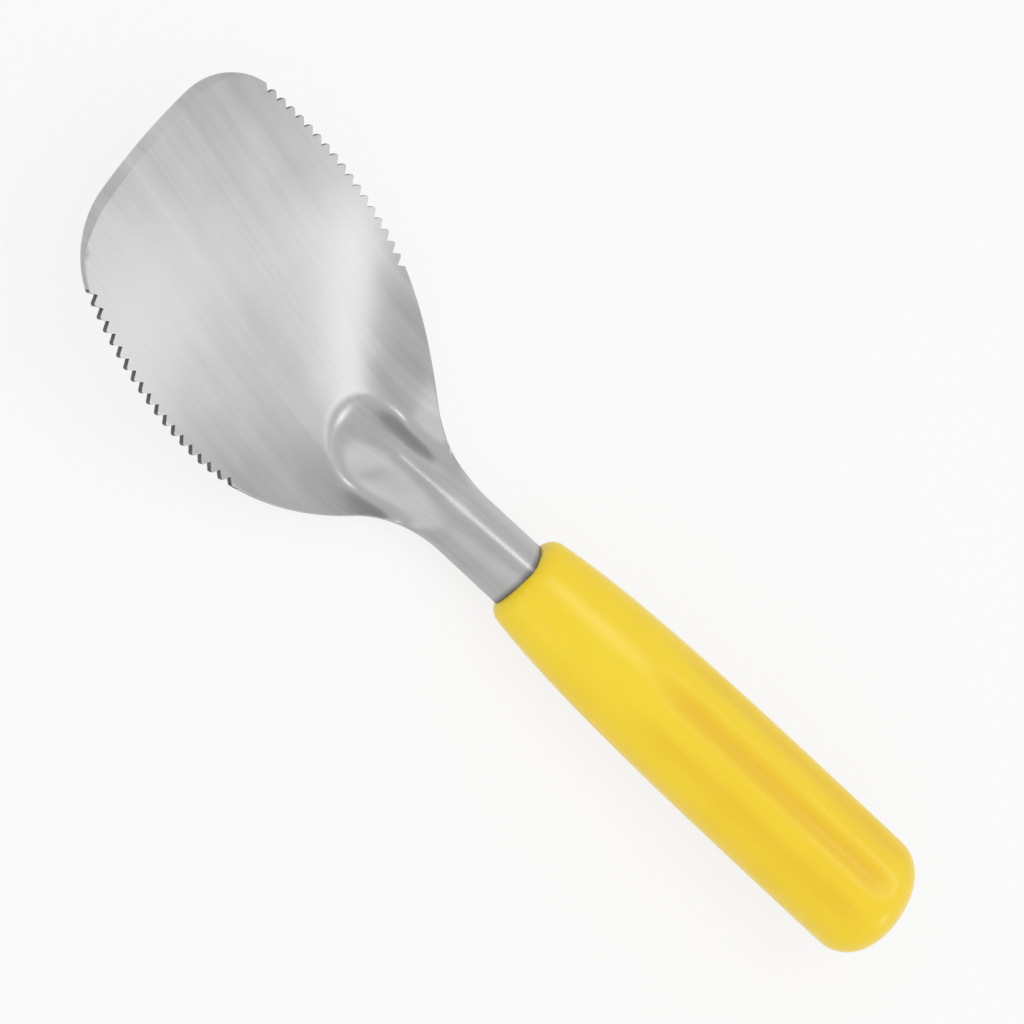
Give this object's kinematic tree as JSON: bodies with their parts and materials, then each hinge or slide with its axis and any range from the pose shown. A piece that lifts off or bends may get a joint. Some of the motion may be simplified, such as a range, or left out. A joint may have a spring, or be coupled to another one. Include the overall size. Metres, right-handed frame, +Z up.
{
  "type": "ice cream scoop",
  "caption": "Spade-style ice cream scoop: toothed stainless blade with a ribbed, bent stem set in a moulded yellow plastic handle.",
  "frame": {"origin": "centre of the footprint, on the table the scoop lies on", "axes": "+X towards the blade's front edge, +Y to its left seen from above with the handle towards the viewer, +Z up; the scoop is mirror symmetric about Y = 0"},
  "size_m": [0.249, 0.0698, 0.0313],
  "materials": {
    "blade_steel": "stainless sheet with a fine brushing that runs along the blade",
    "handle_plastic": "moulded yellow plastic, soft satin gloss"
  },
  "bodies": {
    "root": {"blade": "blade_steel", "handle": "handle_plastic"}
  },
  "joints": []
}
